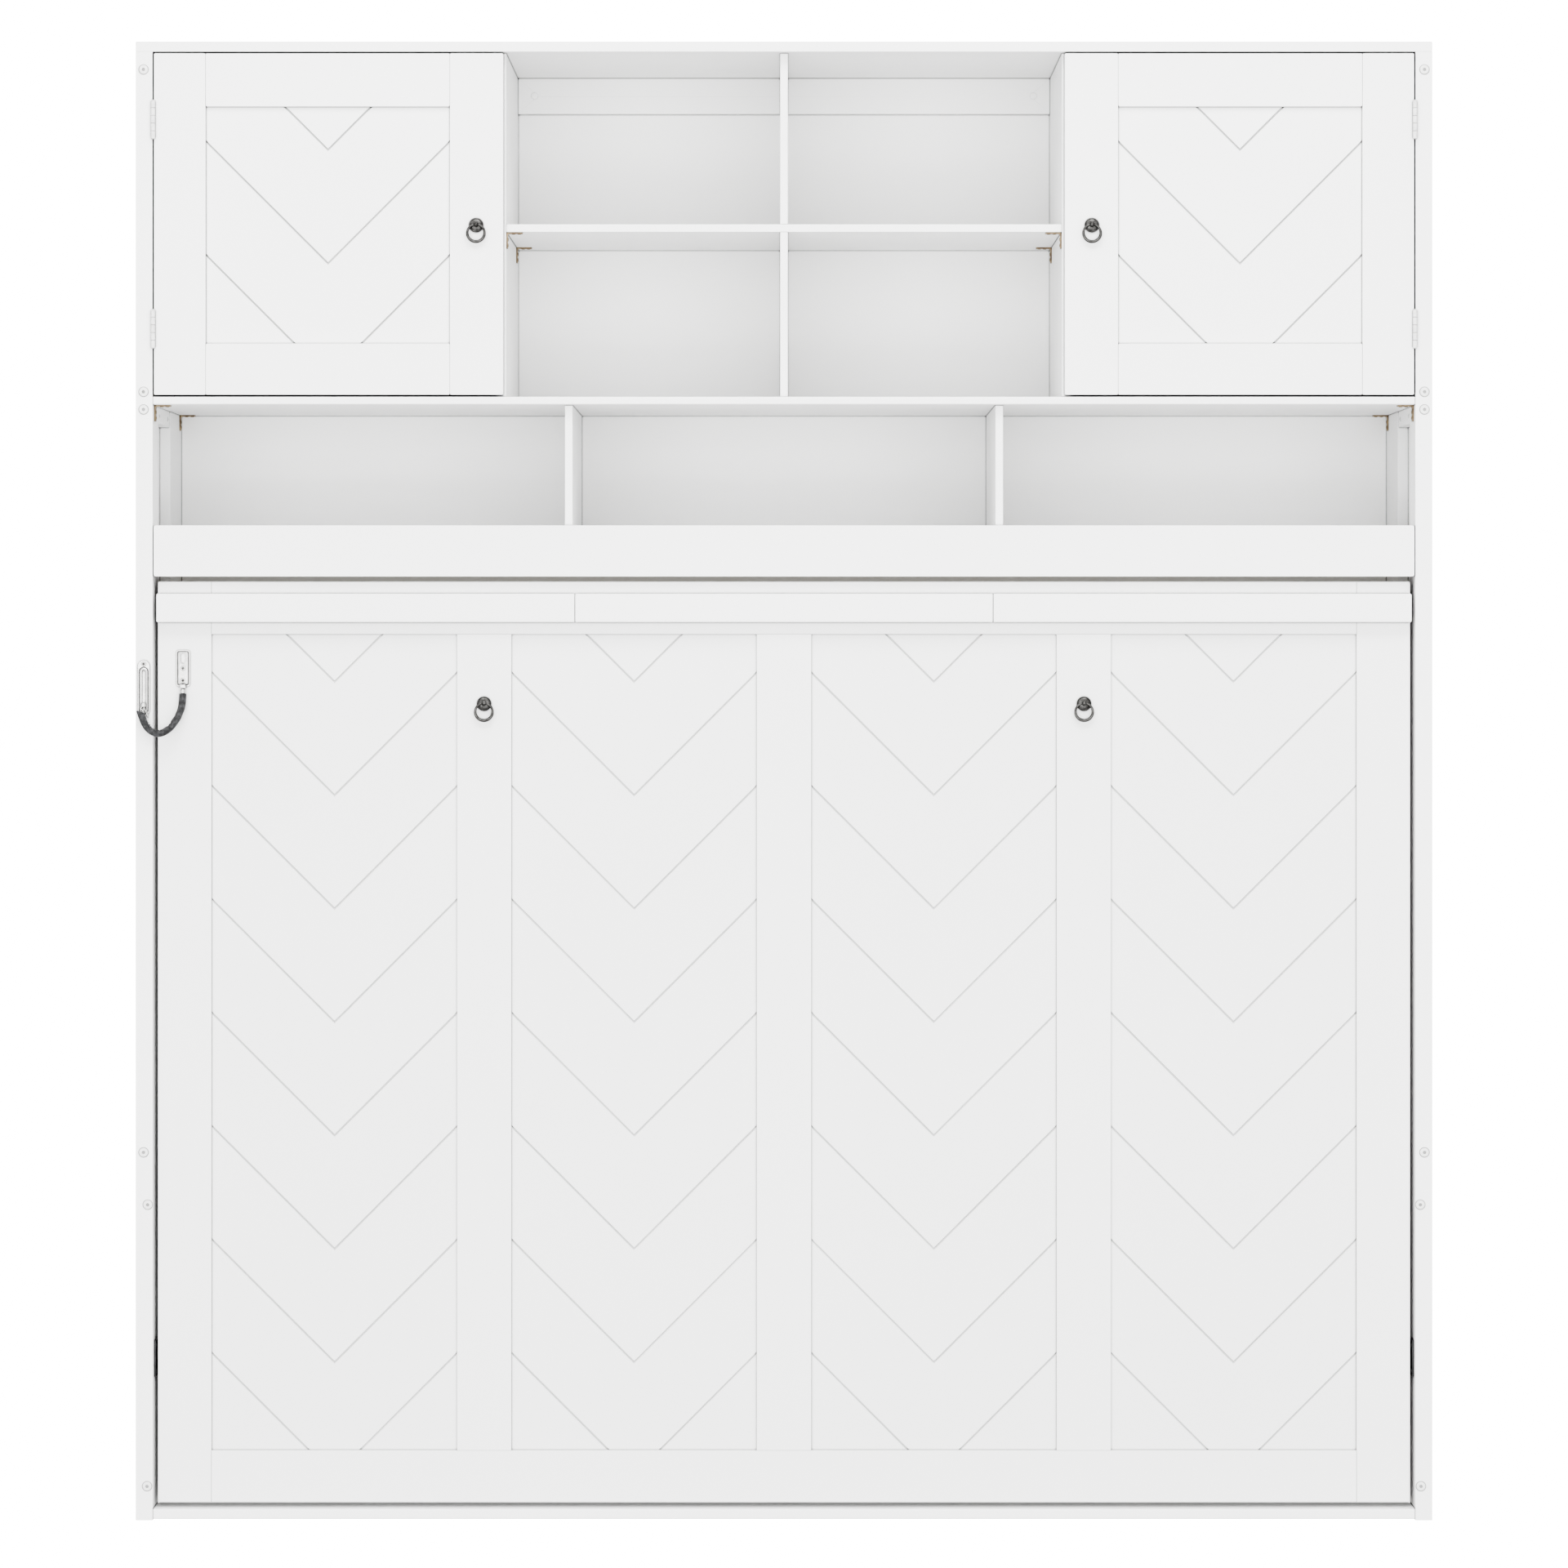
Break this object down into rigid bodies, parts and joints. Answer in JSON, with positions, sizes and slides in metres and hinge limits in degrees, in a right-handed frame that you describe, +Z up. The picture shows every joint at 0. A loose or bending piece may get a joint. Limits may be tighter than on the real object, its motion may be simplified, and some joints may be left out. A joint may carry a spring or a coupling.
{
  "type": "murphy wall bed",
  "caption": "White side-tilting wall bed with a chevron-panelled fold-down front, pull-out feet, gas struts and an upper cabinet with ring-pull doors, open cubbies and an open row",
  "frame": {"origin": "on the floor, under the middle of the object's width and depth", "axes": "+X to the right as seen from the front, +Y to the wall, +Z up"},
  "size_m": [2.02, 0.4377, 2.304],
  "materials": {
    "lacquer": "white satin lacquer on wood",
    "back_board": "thin white-faced board",
    "slat_wood": "bare pine",
    "gunmetal": "dark antique metal",
    "nickel": "dull nickel plate",
    "gilt_steel": "yellow zinc plate",
    "white_metal": "white painted steel",
    "bolt_steel": "zinc plated steel",
    "black_steel": "black powder coat",
    "polished_rod": "polished rod",
    "foot_steel": "white powder coated tube",
    "bush_plastic": "black nylon",
    "sleeve_cloth": "black woven sleeve, gathered"
  },
  "bodies": {
    "carcass": {"lower_front_posts": "lacquer", "upper_front_posts": "lacquer", "back_posts": "lacquer", "side_rails": "lacquer", "lower_side_panels": "lacquer", "upper_side_panels": "lacquer", "front_floor_rail": "lacquer", "back_cross_rail": "lacquer", "top_boards": "lacquer", "cabinet_floor": "lacquer", "cabinet_partitions": "lacquer", "middle_shelf": "lacquer", "centre_dividers": "lacquer", "wall_rail": "lacquer", "apron": "lacquer", "row_shelf": "lacquer", "row_dividers": "lacquer", "cabinet_back_panel": "back_board", "row_back_panel": "back_board", "chain_track": "nickel", "shelf_brackets": "gilt_steel", "hinge_post_leaves": "white_metal", "hinge_pins": "white_metal", "frame_bolts": "bolt_steel", "pivot_plates": "black_steel", "strut_mounts": "black_steel"},
    "left_door": {"left_door_frame": "lacquer", "left_door_panel": "lacquer", "left_door_hinge_leaves": "white_metal", "left_door_pull_base": "gunmetal"},
    "left_door_pull": {"left_door_ring": "gunmetal"},
    "right_door": {"right_door_frame": "lacquer", "right_door_panel": "lacquer", "right_door_hinge_leaves": "white_metal", "right_door_pull_base": "gunmetal"},
    "right_door_pull": {"right_door_ring": "gunmetal"},
    "bed": {"bed_face_frame": "lacquer", "bed_face_panels": "lacquer", "bed_box_rails": "lacquer", "bed_slats": "slat_wood", "slat_ledgers": "slat_wood", "leg_guides": "slat_wood", "bed_pull_bases": "gunmetal", "chain_keeper": "nickel", "pivot_bushes": "bush_plastic", "strut_bed_studs": "black_steel"},
    "left_bed_pull": {"left_bed_ring": "gunmetal"},
    "right_bed_pull": {"right_bed_ring": "gunmetal"},
    "left_foot": {"left_foot_bar": "lacquer", "left_foot_posts": "foot_steel"},
    "centre_foot": {"centre_foot_bar": "lacquer", "centre_foot_posts": "foot_steel"},
    "right_foot": {"right_foot_bar": "lacquer", "right_foot_posts": "foot_steel"},
    "left_strut_cylinder": {"left_strut_tube": "black_steel"},
    "left_strut_piston": {"left_strut_rod": "polished_rod"},
    "right_strut_cylinder": {"right_strut_tube": "black_steel"},
    "right_strut_piston": {"right_strut_rod": "polished_rod"},
    "chain": {"chain_ends": "nickel", "chain_sleeve": "sleeve_cloth"}
  },
  "joints": [
    {"name": "left_door_hinge", "type": "hinge", "parent": "carcass", "child": "left_door", "pos_m": [-0.9825, -0.20805, 2.019], "axis": [0, 0, -1], "range_deg": [0, 170]},
    {"name": "right_door_hinge", "type": "hinge", "parent": "carcass", "child": "right_door", "pos_m": [0.9825, -0.20805, 2.019], "axis": [0, 0, 1], "range_deg": [0, 170]},
    {"name": "left_door_pull_hinge", "type": "hinge", "parent": "left_door", "child": "left_door_pull", "pos_m": [-0.4795, -0.21125, 2.0185], "axis": [-1, 0, 0], "range_deg": [0, 150]},
    {"name": "right_door_pull_hinge", "type": "hinge", "parent": "right_door", "child": "right_door_pull", "pos_m": [0.4795, -0.21125, 2.0185], "axis": [-1, 0, 0], "range_deg": [0, 150]},
    {"name": "bed_fold", "type": "hinge", "parent": "carcass", "child": "bed", "pos_m": [0, -0.15825, 0.25], "axis": [1, 0, 0], "range_deg": [0, 90]},
    {"name": "left_bed_pull_hinge", "type": "hinge", "parent": "bed", "child": "left_bed_pull", "pos_m": [-0.468, -0.19525, 1.273], "axis": [-1, 0, 0], "range_deg": [0, 150]},
    {"name": "right_bed_pull_hinge", "type": "hinge", "parent": "bed", "child": "right_bed_pull", "pos_m": [0.468, -0.19525, 1.273], "axis": [-1, 0, 0], "range_deg": [0, 150]},
    {"name": "left_foot_slide", "type": "slide", "parent": "bed", "child": "left_foot", "axis": [0, -1, 0], "range_m": [0, 0.2]},
    {"name": "centre_foot_slide", "type": "slide", "parent": "bed", "child": "centre_foot", "axis": [0, -1, 0], "range_m": [0, 0.2]},
    {"name": "right_foot_slide", "type": "slide", "parent": "bed", "child": "right_foot", "axis": [0, -1, 0], "range_m": [0, 0.2]},
    {"name": "left_strut_swing", "type": "hinge", "parent": "carcass", "child": "left_strut_cylinder", "pos_m": [-0.9885, -0.07425, 0.574], "axis": [1, 0, 0], "range_deg": [0, 12]},
    {"name": "left_strut_stroke", "type": "slide", "parent": "left_strut_cylinder", "child": "left_strut_piston", "axis": [0, 0.0781, 0.9969], "range_m": [0, 0.165]},
    {"name": "right_strut_swing", "type": "hinge", "parent": "carcass", "child": "right_strut_cylinder", "pos_m": [0.9885, -0.07425, 0.574], "axis": [1, 0, 0], "range_deg": [0, 12]},
    {"name": "right_strut_stroke", "type": "slide", "parent": "right_strut_cylinder", "child": "right_strut_piston", "axis": [0, 0.0781, 0.9969], "range_m": [0, 0.165]},
    {"name": "chain_swing", "type": "hinge", "parent": "bed", "child": "chain", "pos_m": [-0.9375, -0.19525, 1.291], "axis": [0, 0, 1], "range_deg": [0, 90]}
  ],
  "couplings": [
    {"joint": "left_strut_swing", "follows": "bed_fold", "ratio": 0.11},
    {"joint": "left_strut_stroke", "follows": "bed_fold", "m_per_rad": 0.10192},
    {"joint": "right_strut_swing", "follows": "bed_fold", "ratio": 0.11},
    {"joint": "right_strut_stroke", "follows": "bed_fold", "m_per_rad": 0.10192}
  ]
}
